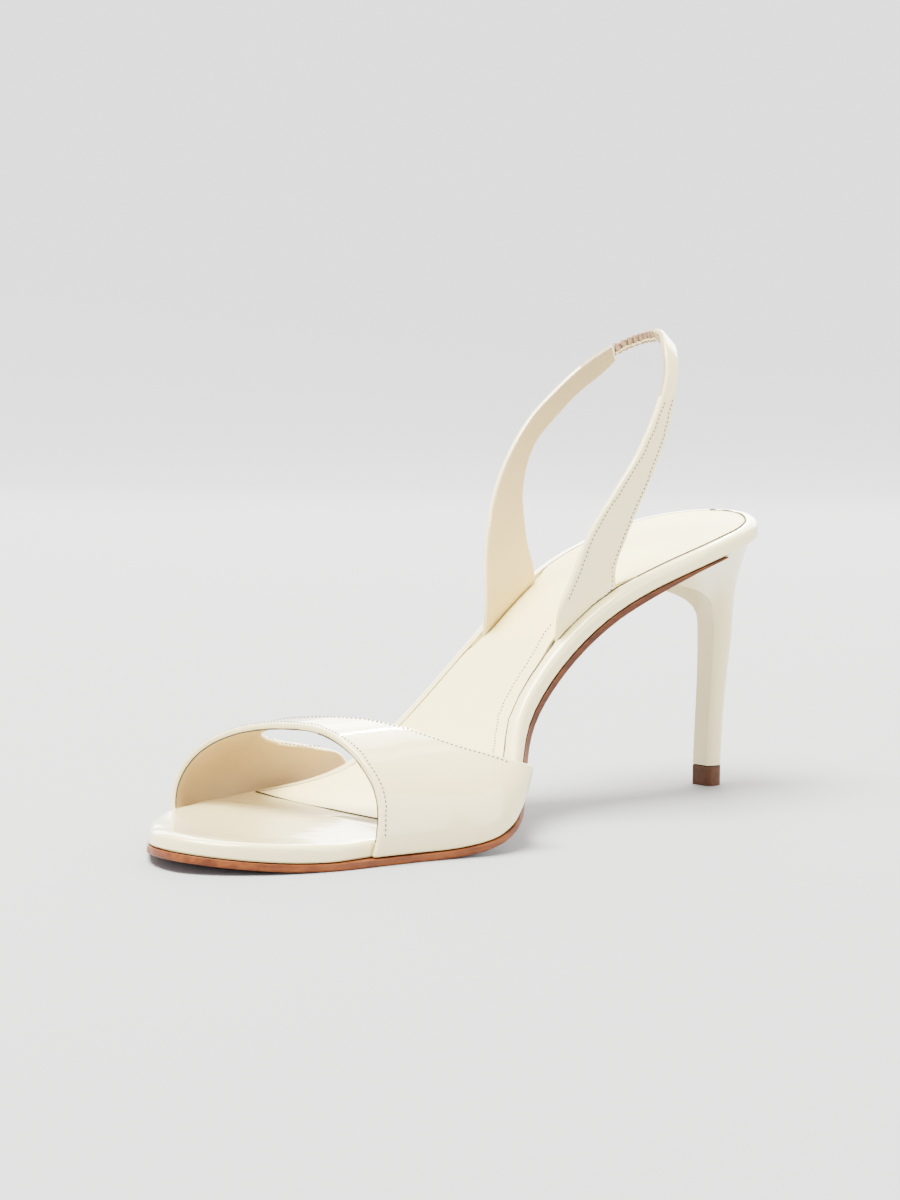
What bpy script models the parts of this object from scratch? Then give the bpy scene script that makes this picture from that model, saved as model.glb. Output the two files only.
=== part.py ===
"""Slingback sandal for the right foot: open toe, one wide vamp band, slim high heel.

The toe points along -Y, the heel along +Y and +Z is up. +X is the inner side of the foot.
Lengths are in metres. A share along the shoe runs from 0 at the back of the heel to 1 at the toe.
Every piece is lofted from the same last: its outline, its side profile and its cross sections.
"""

import math

import bmesh
import bpy
import numpy as np
from mathutils import Vector

# Main sizes
LENGTH = 0.220
BALL_WIDTH = 0.086
HEEL_HEIGHT = 0.0754
TOE_SPRING = 0.0030
VAMP_HEIGHT = 0.0310
SLING_RISE = 0.0791
SLING_SPREAD = 0.0200

# Walls and thicknesses
OUTSOLE_THICKNESS = 0.0020
OUTSOLE_END_THICKNESS = 0.0006
FOOTBED_THICKNESS = 0.0045
SOCK_THICKNESS = 0.0009
VAMP_WALL = 0.0018
STRAP_WALL = 0.0018
ELASTIC_WALL = 0.0014
CLEARANCE = 0.0003

# Edges
RIM_WIDTH = 0.0036
RIM_ROUNDING = 0.0016
OUTSOLE_SHOW = 0.0005
OUTSOLE_ROUNDING = 0.0004

# Heel
TOP_PIECE_WIDTH = 0.0082
TOP_PIECE_DEPTH = 0.0080
TOP_PIECE_HEIGHT = 0.0057
HEEL_TIP_INSET = 0.0126
SHAFT_TOP_HEIGHT = 0.0450
BREAST_ANGLE = math.radians(-50)

# Places along the shoe, as shares of its length
FLAT_START = 0.70
FLAT_END = 0.84
SOCK_FRONT = 0.708
SOCK_SWEEP = 0.028
OUTSOLE_BACK = 0.135
OUTSOLE_FULL = 0.30
HEEL_FRONT = 0.225
BREAST_MIDDLE = 0.165
SLING_FRONT = 0.378
SLING_BACK = 0.297
SLING_MIDDLE = 0.345
AXIS_OFFSET = -0.0030

# Outline of the footprint: share of the length, then shares of the ball width to each side
OUTLINE = {
    "along": (0.000, 0.020, 0.050, 0.100, 0.160, 0.220, 0.280, 0.340, 0.400, 0.450, 0.500, 0.550,
              0.600, 0.640, 0.680, 0.720, 0.780, 0.840, 0.890, 0.930, 0.960, 0.985, 1.000),
    "inner": (-0.027, 0.121, 0.197, 0.248, 0.258, 0.243, 0.212, 0.172, 0.147, 0.166, 0.256, 0.376,
              0.484, 0.508, 0.484, 0.450, 0.422, 0.400, 0.360, 0.308, 0.250, 0.180, 0.073),
    "outer": (0.027, 0.174, 0.240, 0.286, 0.293, 0.288, 0.274, 0.266, 0.280, 0.298, 0.318, 0.348,
              0.414, 0.488, 0.534, 0.543, 0.518, 0.436, 0.334, 0.240, 0.152, 0.068, -0.073),
}

# Side profile of the footbed's underside, from the heel to the flat of the ball
PROFILE = {
    "along": (0.00, 0.05, 0.10, 0.16, 0.20, 0.25, 0.30, 0.35, 0.40, 0.45, 0.50, 0.55, 0.60, 0.65, 0.70),
    "height": (1.000, 0.973, 0.943, 0.900, 0.866, 0.816, 0.748, 0.646, 0.515, 0.380, 0.249, 0.147,
               0.070, 0.022, 0.000),
}

# Last over the toes: crown height as a share of the vamp height, then as shares of the ball width
# the crown's offset to the inner side and how far each side swells over the sole's edge
CROWN = {
    "along": (0.50, 0.55, 0.60, 0.66, 0.72, 0.78, 0.84, 0.90),
    "height": (1.290, 1.150, 1.040, 0.985, 0.978, 0.970, 0.920, 0.820),
    "offset": (0.020, 0.024, 0.026, 0.028, 0.032, 0.040, 0.046, 0.050),
    "inner_swell": (0.115, 0.102, 0.046, 0.022, 0.016, 0.013, 0.010, 0.000),
    "outer_swell": (0.020, 0.035, 0.050, 0.058, 0.064, 0.068, 0.066, 0.040),
}
SWELL_REACH = 82.0

# Cut lines of the vamp: the angle runs from the inner base (0) over the crown (90) to the outer base
VAMP_FRONT_CUT = {
    "angle": (0.0, 14.0, 37.0, 60.0, 90.0, 120.0, 135.0, 150.0, 165.0, 180.0),
    "along": (0.803, 0.794, 0.783, 0.781, 0.779, 0.789, 0.796, 0.804, 0.814, 0.824),
}
VAMP_BACK_CUT = {
    "angle": (0.0, 6.0, 11.0, 16.0, 27.0, 39.0, 48.0, 56.0, 65.0, 75.0, 90.0, 110.0, 125.0, 135.0,
              142.0, 149.0, 157.0, 166.0, 180.0),
    "along": (0.580, 0.562, 0.546, 0.549, 0.571, 0.603, 0.626, 0.647, 0.664, 0.681, 0.700, 0.718, 0.716,
              0.690, 0.660, 0.625, 0.595, 0.573, 0.564),
}

# Sling straps from the footbed to the loop at the back of the ankle. Each row has an upper and a
# lower edge: spread to the inner side, share along the shoe, and rise above the waist of the footbed
INNER_STRAP = (
    ("upper_spread", "upper_along", "upper_rise", "lower_spread", "lower_along", "lower_rise"),
    (0.73, 0.394, 0.020, 0.78, 0.298, 0.160),
    (0.78, 0.376, 0.140, 0.83, 0.285, 0.265),
    (0.85, 0.353, 0.290, 0.89, 0.267, 0.380),
    (0.93, 0.316, 0.435, 0.95, 0.248, 0.495),
    (0.97, 0.278, 0.570, 0.97, 0.229, 0.607),
    (0.95, 0.245, 0.712, 0.95, 0.212, 0.729),
    (0.87, 0.220, 0.842, 0.87, 0.198, 0.832),
    (0.65, 0.203, 0.948, 0.73, 0.185, 0.895),
    (0.30, 0.174, 0.992, 0.41, 0.161, 0.940),
    (0.05, 0.161, 0.995, 0.10, 0.150, 0.945),
)
OUTER_STRAP = (
    ("upper_spread", "upper_along", "upper_rise", "lower_spread", "lower_along", "lower_rise"),
    (-0.71, 0.398, 0.030, -0.73, 0.313, 0.148),
    (-0.78, 0.394, 0.135, -0.81, 0.318, 0.240),
    (-0.88, 0.382, 0.285, -0.91, 0.317, 0.360),
    (-0.98, 0.357, 0.442, -0.99, 0.305, 0.487),
    (-1.02, 0.327, 0.572, -1.03, 0.281, 0.596),
    (-1.01, 0.295, 0.678, -1.01, 0.254, 0.662),
    (-0.96, 0.260, 0.762, -0.97, 0.226, 0.732),
    (-0.88, 0.224, 0.842, -0.89, 0.198, 0.792),
    (-0.76, 0.196, 0.898, -0.79, 0.175, 0.845),
    (-0.65, 0.179, 0.932, -0.69, 0.167, 0.880),
)
ELASTIC = (
    ("upper_spread", "upper_along", "upper_rise", "lower_spread", "lower_along", "lower_rise"),
    (0.05, 0.160, 0.992, 0.09, 0.152, 0.952),
    (-0.20, 0.158, 0.982, -0.18, 0.151, 0.943),
    (-0.45, 0.165, 0.959, -0.46, 0.159, 0.920),
    (-0.65, 0.178, 0.929, -0.68, 0.170, 0.890),
)

# Heel shaft: share of its height, then width, depth, and shifts back and to the outer side,
# all as shares of the top piece's width or depth
SHAFT = {
    "rise": (0.00, 0.25, 0.55, 0.80, 1.00),
    "width": (1.00, 1.00, 1.04, 1.12, 1.22),
    "depth": (1.00, 1.01, 1.06, 1.17, 1.30),
    "back": (0.00, 0.09, 0.24, 0.38, 0.46),
    "outer": (0.00, 0.04, 0.08, 0.12, 0.14),
}
SEAT_FLARE = 2.2
BREAST_FLARE = 3.8
SEAT_INSET = 0.0022

# Mesh fineness
PLATE_STATIONS = 44
FRONT_POINTS = 8
VAMP_ROWS = 12
VAMP_COLUMNS = 34
STRAP_ROWS = 26
STRAP_COLUMNS = 4
ELASTIC_ROWS = 8
SHAFT_ROWS = 6
FLARE_ROWS = 7
HEEL_SIDE_POINTS = 13
BREAST_POINTS = 3
TINY = 1e-6

INNER, OUTER = 1, -1


def smooth_curve(places, values):
    """Returns a function: a smooth curve through the rows that never swings past them."""
    x, y = np.array(places, float), np.array(values, float)
    steps = np.diff(x)
    slopes = np.diff(y) / steps
    tangents = np.zeros(len(x))
    tangents[0], tangents[-1] = slopes[0], slopes[-1]
    for i in range(1, len(x) - 1):
        before, after = slopes[i - 1], slopes[i]
        if before * after > 0:
            weight_before = 2 * steps[i] + steps[i - 1]
            weight_after = steps[i] + 2 * steps[i - 1]
            tangents[i] = (weight_before + weight_after) / (weight_before / before + weight_after / after)

    def value(place):
        place = min(max(place, x[0]), x[-1])
        i = min(int(np.searchsorted(x, place, side="right")) - 1, len(x) - 2)
        t = (place - x[i]) / steps[i]
        return ((1 + 2 * t) * (1 - t) ** 2 * y[i] + t * (1 - t) ** 2 * steps[i] * tangents[i]
                + t * t * (3 - 2 * t) * y[i + 1] + t * t * (t - 1) * steps[i] * tangents[i + 1])

    return value


def turn(share):
    """The outline's own angle, which opens the round ends of the heel and the toe."""
    return math.acos(1 - 2 * min(max(share, 0.0), 1.0))


OUTLINE_TURNS = [turn(share) for share in OUTLINE["along"]]
SIDE_CURVES = {
    INNER: smooth_curve(OUTLINE_TURNS, OUTLINE["inner"]),
    OUTER: smooth_curve(OUTLINE_TURNS, OUTLINE["outer"]),
}
PROFILE_CURVE = smooth_curve(PROFILE["along"], PROFILE["height"])
CROWN_HEIGHT = smooth_curve(CROWN["along"], CROWN["height"])
CROWN_OFFSET = smooth_curve(CROWN["along"], CROWN["offset"])
SWELL = {
    INNER: smooth_curve(CROWN["along"], CROWN["inner_swell"]),
    OUTER: smooth_curve(CROWN["along"], CROWN["outer_swell"]),
}
FRONT_CUT = smooth_curve(VAMP_FRONT_CUT["angle"], VAMP_FRONT_CUT["along"])
BACK_CUT = smooth_curve(VAMP_BACK_CUT["angle"], VAMP_BACK_CUT["along"])
FLAT_HEIGHT = OUTSOLE_THICKNESS + CLEARANCE


def blend(low, high, share):
    """Eased step from 0 to 1 as the share goes from low to high."""
    t = min(max((share - low) / (high - low), 0.0), 1.0)
    return t * t * (3 - 2 * t)


def along(y):
    """Share along the shoe at a place on the Y axis."""
    return 0.5 - y / LENGTH


def profile_height(share):
    """Height of the footbed's underside above the floor."""
    if share <= FLAT_START:
        return FLAT_HEIGHT + (HEEL_HEIGHT - FLAT_HEIGHT) * PROFILE_CURVE(share)
    past_flat = max(share - FLAT_END, 0.0) / (1 - FLAT_END)
    return FLAT_HEIGHT + TOE_SPRING * past_flat ** 2


def profile_normal(share):
    """Upward normal of the footbed's underside, as its Y and Z parts."""
    step = 0.004
    if FLAT_START + step < share < FLAT_END - step:
        return 0.0, 1.0
    rise = profile_height(max(share - step, 0.0)) - profile_height(min(share + step, 1.0))
    run = LENGTH * (min(share + step, 1.0) - max(share - step, 0.0))
    size = math.hypot(rise, run)
    return -rise / size, run / size


def outline_point(side, angle):
    """Point of the footprint's outline, in plan."""
    share = 0.5 - 0.5 * math.cos(angle)
    return np.array([side * BALL_WIDTH * SIDE_CURVES[side](angle), LENGTH * (0.5 - share)])


def inset_point(side, angle, inset):
    """Outline point moved inwards along the outline's own normal."""
    step = 0.01
    before = outline_point(side, max(angle - step, 0.0))
    after = outline_point(side, min(angle + step, math.pi))
    tangent = (after - before) / np.linalg.norm(after - before)
    inward = np.array([tangent[1], -tangent[0]]) * side
    if angle < TINY:
        inward = np.array([0.0, -1.0])
    if angle > math.pi - TINY:
        inward = np.array([0.0, 1.0])
    return outline_point(side, angle) + inward * inset


def lifted(x, y, lift):
    """Point above the footbed's underside, square to its profile."""
    share = along(y)
    normal_y, normal_z = profile_normal(share)
    return (x, y + normal_y * lift, profile_height(share) + normal_z * lift)


def last_point(side, share, inset, lift):
    x, y = inset_point(side, turn(share), inset)
    return lifted(x, y, lift)


def plate_ring(inset, lift, back=0.0, front=1.0, sweep=0.0):
    """Closed loop round the footprint: inner side from back to front, outer side on the way back.

    The sweep sets the outer side's front end back, and the front edge then bends to meet it.
    """
    loops = []
    for side in (INNER, OUTER):
        end = front - (sweep if side == OUTER else 0.0)
        angles = np.linspace(turn(back), turn(end), PLATE_STATIONS + 1)
        points = []
        for angle in angles:
            share = 0.5 - 0.5 * math.cos(angle)
            x, y = inset_point(side, angle, inset(side, share))
            points.append(lifted(x, y, lift(share)))
        loops.append(points)
    if sweep:
        inner_end, outer_end = np.array(loops[0][-1]), np.array(loops[1][-1])
        bend = []
        for across in np.linspace(0.0, 1.0, FRONT_POINTS + 2)[1:-1]:
            x = inner_end[0] + (outer_end[0] - inner_end[0]) * across
            y = inner_end[1] + (outer_end[1] - inner_end[1]) * across ** 2
            bend.append(lifted(x, y, lift(along(y))))
        half = FRONT_POINTS // 2
        loops[0] += bend[:half]
        loops[1] += bend[half:][::-1]
    return loops[0] + loops[1][::-1]


def loft(name, rings, material, collection):
    """Closed solid through rings of equal count. Each end is closed by strips across its loop."""
    count = len(rings[0])
    half = count // 2
    vertices = [point for ring in rings for point in ring]
    faces = []
    for row in range(len(rings) - 1):
        low, high = row * count, (row + 1) * count
        for i in range(count):
            j = (i + 1) % count
            faces.append((low + i, low + j, high + j, high + i))
    for start in (0, (len(rings) - 1) * count):
        for i in range(half - 1):
            faces.append((start + i, start + i + 1, start + count - 2 - i, start + count - 1 - i))
    mesh = bpy.data.meshes.new(name)
    mesh.from_pydata([tuple(point) for point in vertices], [], faces)
    work = bmesh.new()
    work.from_mesh(mesh)
    bmesh.ops.remove_doubles(work, verts=work.verts, dist=TINY)
    bmesh.ops.dissolve_degenerate(work, edges=work.edges, dist=TINY)
    bmesh.ops.triangulate(work, faces=[face for face in work.faces if len(face.verts) > 3])
    bmesh.ops.recalc_face_normals(work, faces=work.faces)
    if work.calc_volume(signed=True) < 0:
        bmesh.ops.reverse_faces(work, faces=work.faces)
    work.to_mesh(mesh)
    work.free()
    mesh.shade_smooth()
    mesh.set_sharp_from_angle(angle=math.radians(40))
    piece = bpy.data.objects.new(name, mesh)
    if material:
        mesh.materials.append(material)
    collection.objects.link(piece)
    return piece


def make_material(name, color, roughness, coat=0.0):
    material = bpy.data.materials.new(name)
    material.use_nodes = True
    shader = material.node_tree.nodes["Principled BSDF"]
    shader.inputs["Base Color"].default_value = (*color, 1.0)
    shader.inputs["Roughness"].default_value = roughness
    shader.inputs["Metallic"].default_value = 0.0
    shader.inputs["Coat Weight"].default_value = coat
    return material


def outsole_thickness(share):
    """Full under the forefoot and waist, skived thin where it runs under the seat."""
    full = blend(OUTSOLE_BACK, OUTSOLE_FULL, share)
    return OUTSOLE_END_THICKNESS + (OUTSOLE_THICKNESS - OUTSOLE_END_THICKNESS) * full


def footbed_inset(share):
    """The footbed's edge draws in by the vamp's wall where the vamp runs down past it."""
    covered = blend(0.53, 0.56, share) * (1 - blend(0.815, 0.845, share))
    return CLEARANCE + covered * (OUTSOLE_SHOW + VAMP_WALL)


def make_outsole(collection):
    def bottom(share):
        return -CLEARANCE - outsole_thickness(share)

    def rounded_bottom(share):
        return bottom(share) + min(OUTSOLE_ROUNDING, outsole_thickness(share) / 3)

    rings = [
        plate_ring(lambda side, share: OUTSOLE_ROUNDING, bottom, back=OUTSOLE_BACK),
        plate_ring(lambda side, share: 0.0, rounded_bottom, back=OUTSOLE_BACK),
        plate_ring(lambda side, share: 0.0, lambda share: -CLEARANCE, back=OUTSOLE_BACK),
    ]
    return loft("outsole", rings, make_material("tan_leather", (0.45, 0.20, 0.09), 0.5), collection)


def make_footbed(parts, cutters):
    """Wrapped board with a rolled rim and a shallow pocket for the sock."""
    steps = [(math.sin(turn_), 1 - math.cos(turn_)) for turn_ in np.radians([0, 30, 60, 90])]
    rings = [plate_ring(lambda side, share: footbed_inset(share) + OUTSOLE_ROUNDING, lambda share: 0.0)]
    rings.append(plate_ring(lambda side, share: footbed_inset(share), lambda share: OUTSOLE_ROUNDING))
    for up, inward in steps:
        inset = RIM_ROUNDING * inward
        lift = FOOTBED_THICKNESS - RIM_ROUNDING + RIM_ROUNDING * up
        rings.append(plate_ring(lambda side, share, inset=inset: footbed_inset(share) + inset,
                                lambda share, lift=lift: lift))
    footbed = loft("footbed", rings, make_material("patent", (0.86, 0.80, 0.68), 0.15, 1.0), parts)
    floor = FOOTBED_THICKNESS - SOCK_THICKNESS - CLEARANCE
    pocket_rings = [plate_ring(lambda side, share: RIM_WIDTH + footbed_inset(share) - CLEARANCE,
                               lambda share, lift=lift: lift, front=SOCK_FRONT, sweep=SOCK_SWEEP)
                    for lift in (floor, FOOTBED_THICKNESS + RIM_WIDTH)]
    pocket = loft("pocket_cutter", pocket_rings, None, cutters)
    pocket.hide_render = True
    pocket.display_type = "WIRE"
    cut = footbed.modifiers.new("pocket", "BOOLEAN")
    cut.operation = "DIFFERENCE"
    cut.solver = "EXACT"
    cut.object = pocket
    return footbed


def make_sock(collection):
    """Sock lining in the pocket. Its edge steps in round the feet of the two straps."""
    floor = FOOTBED_THICKNESS - SOCK_THICKNESS

    def inset(side, share):
        seam = RIM_WIDTH + footbed_inset(share)
        at_strap = blend(SLING_BACK - 0.020, SLING_BACK - 0.010, share)
        at_strap *= 1 - blend(SLING_FRONT + 0.010, SLING_FRONT + 0.020, share)
        return seam + at_strap * (STRAP_WALL + 3 * CLEARANCE)

    front = SOCK_FRONT - CLEARANCE / LENGTH
    rings = [plate_ring(inset, lambda share, lift=lift: lift, front=front, sweep=SOCK_SWEEP)
             for lift in (floor, FOOTBED_THICKNESS)]
    return loft("sock", rings, make_material("sock_leather", (0.88, 0.82, 0.72), 0.55), collection)


def vamp_surface(share, angle):
    """Point of the last's surface over the toes."""
    side = INNER if angle <= 90 else OUTER
    base_x, base_y, base_z = last_point(side, share, OUTSOLE_SHOW, 0.0)
    crown_x = BALL_WIDTH * CROWN_OFFSET(share)
    crown_z = FLAT_HEIGHT + VAMP_HEIGHT * CROWN_HEIGHT(share)
    flat = abs(math.cos(math.radians(angle)))
    upright = max(math.sin(math.radians(angle)), 0.0)
    x = crown_x + (base_x - crown_x) * flat
    from_base = min(angle, 180.0 - angle) / SWELL_REACH
    x += side * BALL_WIDTH * SWELL[side](share) * max(math.sin(math.pi * min(from_base, 1.0)), 0.0) ** 0.7
    return np.array([x, base_y, base_z + (crown_z - base_z) * upright])


def make_vamp(collection):
    """One band over the toes, cut from the last's surface, with its wall laid to the inside."""
    angles = np.linspace(0.0, 180.0, VAMP_COLUMNS + 1)
    step_angle, step_share = 0.5, 0.002
    rings = []
    for row in np.linspace(0.0, 1.0, VAMP_ROWS + 1):
        outside, inside = [], []
        for angle in angles:
            share = FRONT_CUT(angle) * (1 - row) + BACK_CUT(angle) * row
            point = vamp_surface(share, angle)
            low, high = max(angle - step_angle, 0.0), min(angle + step_angle, 180.0)
            across = vamp_surface(share, high) - vamp_surface(share, low)
            forward = vamp_surface(share + step_share, angle) - vamp_surface(share - step_share, angle)
            normal = np.cross(across, forward)
            normal /= np.linalg.norm(normal)
            if angle in (0.0, 180.0):
                normal = np.array([math.copysign(1.0, point[0]), 0.0, 0.0])
            outside.append(point)
            inside.append(point - normal * VAMP_WALL)
        rings.append(outside + inside[::-1])
    return loft("vamp", rings, make_material("patent_vamp", (0.86, 0.80, 0.68), 0.15, 1.0), collection)


def sling_point(spread, share, rise):
    """Place on the sling, from its shares."""
    waist = lifted(0.0, LENGTH * (0.5 - SLING_MIDDLE), FOOTBED_THICKNESS)[2]
    return np.array([AXIS_OFFSET + SLING_SPREAD * spread, LENGTH * (0.5 - share), waist + SLING_RISE * rise])


def ribbon(name, rows, wall, count, material, collection, foot_side=None, end_trim=(0.0, 0.0)):
    """Strip between an upper and a lower edge, with its wall laid to the inside of the loop."""
    upper = [sling_point(*row[:3]) for row in rows[1:]]
    lower = [sling_point(*row[3:]) for row in rows[1:]]
    foot_bow = np.zeros((STRAP_COLUMNS + 1, 3))
    if foot_side:
        floor = FOOTBED_THICKNESS - SOCK_THICKNESS
        shares = np.linspace(SLING_FRONT, SLING_BACK, STRAP_COLUMNS + 1)
        inset = RIM_WIDTH + footbed_inset(SLING_MIDDLE)
        foot = np.array([last_point(foot_side, share, inset, floor) for share in shares])
        upper.insert(0, foot[0])
        lower.insert(0, foot[-1])
        chord = np.linspace(foot[0], foot[-1], STRAP_COLUMNS + 1)
        foot_bow = foot - chord
    middles = [(u + l) / 2 for u, l in zip(upper, lower)]
    reach = np.concatenate([[0.0], np.cumsum([np.linalg.norm(b - a) for a, b in zip(middles, middles[1:])])])
    curves = [[smooth_curve(reach, [point[axis] for point in edge]) for axis in range(3)]
              for edge in (upper, lower)]

    def edges(place):
        return [np.array([curve(place) for curve in edge]) for edge in curves]

    rings = []
    step = 0.0005
    for place in np.linspace(end_trim[0], reach[-1] - end_trim[1], count + 1):
        top, bottom = edges(place)
        ahead = sum(edges(min(place + step, reach[-1]))) / 2
        behind = sum(edges(max(place - step, 0.0))) / 2
        normal = np.cross(ahead - behind, bottom - top)
        normal /= np.linalg.norm(normal)
        outward = (top + bottom) / 2 - np.array([AXIS_OFFSET, LENGTH * (0.5 - SLING_MIDDLE), 0.0])
        if np.dot(normal[:2], outward[:2]) < 0:
            normal = -normal
        fade = 1 - blend(0.0, 0.010, place)
        outside = [top + (bottom - top) * i / STRAP_COLUMNS + foot_bow[i] * fade
                   for i in range(STRAP_COLUMNS + 1)]
        inside = [point - normal * wall for point in outside]
        if foot_side and place == 0.0:
            inside = [point - np.array([foot_side * wall, 0.0, 0.0]) for point in outside]
        rings.append(outside + inside[::-1])
    return loft(name, rings, material, collection)


def make_sling(collection):
    patent = make_material("patent_straps", (0.86, 0.80, 0.68), 0.15, 1.0)
    webbing = make_material("elastic", (0.80, 0.66, 0.56), 0.8)
    ribbon("strap_inner", INNER_STRAP, STRAP_WALL, STRAP_ROWS, patent, collection, foot_side=INNER)
    ribbon("strap_outer", OUTER_STRAP, STRAP_WALL, STRAP_ROWS, patent, collection, foot_side=OUTER)
    ribbon("elastic", ELASTIC, ELASTIC_WALL, ELASTIC_ROWS, webbing, collection,
           end_trim=(2 * CLEARANCE, 2 * CLEARANCE))


def shaft_half(width, depth, centre_x, centre_y, side):
    """Half a heel section, from the middle of the flat breast round to the middle of the back."""
    angles = np.linspace(BREAST_ANGLE, math.pi / 2, HEEL_SIDE_POINTS)
    round_part = [np.array([centre_x + side * width / 2 * math.cos(a), centre_y + depth / 2 * math.sin(a)])
                  for a in angles]
    corner = round_part[0]
    middle = np.array([centre_x, corner[1]])
    breast = [middle + (corner - middle) * i / BREAST_POINTS for i in range(BREAST_POINTS)]
    return breast + round_part


def heel_section(rise):
    """Both halves of the shaft's section at a share of the shaft's height."""
    size = {key: smooth_curve(SHAFT["rise"], SHAFT[key])(rise) for key in ("width", "depth", "back", "outer")}
    centre_x = -size["outer"] * TOP_PIECE_WIDTH
    centre_y = LENGTH / 2 - HEEL_TIP_INSET + size["back"] * TOP_PIECE_DEPTH
    return [shaft_half(size["width"] * TOP_PIECE_WIDTH, size["depth"] * TOP_PIECE_DEPTH,
                       centre_x, centre_y, side) for side in (INNER, OUTER)]


def level_ring(halves, height):
    inner, outer = [[(point[0], point[1], height) for point in half] for half in halves]
    return inner + outer[::-1]


def make_heel(collection):
    """Slim shaft that flares into a seat under the footbed."""
    start = TOP_PIECE_HEIGHT + CLEARANCE
    rings = []
    for rise in np.linspace(0.0, 1.0, SHAFT_ROWS + 1):
        rings.append(level_ring(heel_section(rise), start + (SHAFT_TOP_HEIGHT - start) * rise))

    def seat_drop(share):
        under_outsole = CLEARANCE + outsole_thickness(share) + CLEARANCE
        return CLEARANCE + (under_outsole - CLEARANCE) * blend(OUTSOLE_BACK - 0.02, OUTSOLE_BACK - 0.005, share)

    angles = np.linspace(turn(HEEL_FRONT), 0.0, HEEL_SIDE_POINTS)
    middle_x = sum(outline_point(side, turn(HEEL_FRONT))[0] for side in (INNER, OUTER)) / 2
    seat = []
    for side in (INNER, OUTER):
        outline = [inset_point(side, angle, SEAT_INSET) for angle in angles]
        middle = np.array([middle_x, LENGTH * (0.5 - BREAST_MIDDLE)])
        breast = []
        for i in range(BREAST_POINTS):
            across = i / BREAST_POINTS
            x = middle[0] + (outline[0][0] - middle[0]) * across
            breast.append(np.array([x, middle[1] + (outline[0][1] - middle[1]) * across ** 2]))
        seat.append([np.array(lifted(x, y, -seat_drop(along(y)))) for x, y in breast + outline])
    top = heel_section(1.0)
    last_point_index = BREAST_POINTS + HEEL_SIDE_POINTS - 1
    for step in np.linspace(0.0, 1.0, FLARE_ROWS + 1)[1:]:
        halves = []
        for shaft_side, seat_side in zip(top, seat):
            half = []
            for i, (low, high) in enumerate(zip(shaft_side, seat_side)):
                flare = BREAST_FLARE + (SEAT_FLARE - BREAST_FLARE) * blend(0.1, 0.5, i / last_point_index)
                spread = step ** flare
                x, y = low * (1 - spread) + high[:2] * spread
                half.append((x, y, SHAFT_TOP_HEIGHT + (high[2] - SHAFT_TOP_HEIGHT) * step))
            halves.append(half)
        rings.append(halves[0] + halves[1][::-1])
    return loft("heel", rings, make_material("patent_heel", (0.86, 0.80, 0.68), 0.15, 1.0), collection)


def make_top_piece(collection):
    halves = heel_section(0.0)
    rings = [level_ring(halves, height) for height in (0.0, TOP_PIECE_HEIGHT)]
    return loft("top_piece", rings, make_material("brown_rubber", (0.20, 0.10, 0.05), 0.5), collection)


def centre_on_floor(collection, root):
    """Moves the whole shoe so that the middle of its box stands on the origin."""
    points = [vertex.co for piece in collection.objects if piece.type == "MESH" for vertex in piece.data.vertices]
    middle = [(min(point[i] for point in points) + max(point[i] for point in points)) / 2 for i in (0, 1)]
    root.location = Vector((-middle[0], -middle[1], 0.0))


def main():
    for old in list(bpy.data.objects):
        bpy.data.objects.remove(old)
    parts = bpy.data.collections.new("slingback_sandal")
    cutters = bpy.data.collections.new("cutters")
    bpy.context.scene.collection.children.link(parts)
    bpy.context.scene.collection.children.link(cutters)
    make_outsole(parts)
    make_footbed(parts, cutters)
    make_sock(parts)
    make_vamp(parts)
    make_sling(parts)
    make_heel(parts)
    make_top_piece(parts)
    root = bpy.data.objects.new("sandal_root", None)
    for piece in list(parts.objects) + list(cutters.objects):
        piece.parent = root
    centre_on_floor(parts, root)
    parts.objects.link(root)
    bpy.context.view_layer.update()


main()
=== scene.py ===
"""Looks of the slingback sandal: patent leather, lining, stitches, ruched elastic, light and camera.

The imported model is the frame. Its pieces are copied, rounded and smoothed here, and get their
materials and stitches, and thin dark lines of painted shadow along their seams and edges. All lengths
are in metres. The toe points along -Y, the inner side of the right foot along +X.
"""

import math

import bmesh
import bpy
from mathutils import Matrix, Vector
from mathutils.bvhtree import BVHTree
from mathutils.kdtree import KDTree


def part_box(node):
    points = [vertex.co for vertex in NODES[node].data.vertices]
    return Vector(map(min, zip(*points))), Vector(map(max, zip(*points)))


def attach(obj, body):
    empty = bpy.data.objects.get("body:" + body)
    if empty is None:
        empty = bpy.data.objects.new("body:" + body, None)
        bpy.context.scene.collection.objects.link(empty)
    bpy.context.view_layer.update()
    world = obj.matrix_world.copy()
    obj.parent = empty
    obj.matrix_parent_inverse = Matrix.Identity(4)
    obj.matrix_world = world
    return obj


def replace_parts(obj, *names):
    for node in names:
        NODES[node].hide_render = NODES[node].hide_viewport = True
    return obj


# Camera
CAMERA_AZIMUTH = math.radians(46.5)
CAMERA_ELEVATION = math.radians(7.17)
CAMERA_ROLL = math.radians(0.55)
CAMERA_DISTANCE = 0.949
CAMERA_TARGET = Vector((0.0022, -0.020, 0.045))
FOCAL_PIXELS = 3556.0
IMAGE_WIDTH = 900.0
IMAGE_HEIGHT = 1200.0
TARGET_PIXEL = (413.8, 662.5)
SENSOR_HEIGHT = 36.0

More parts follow.
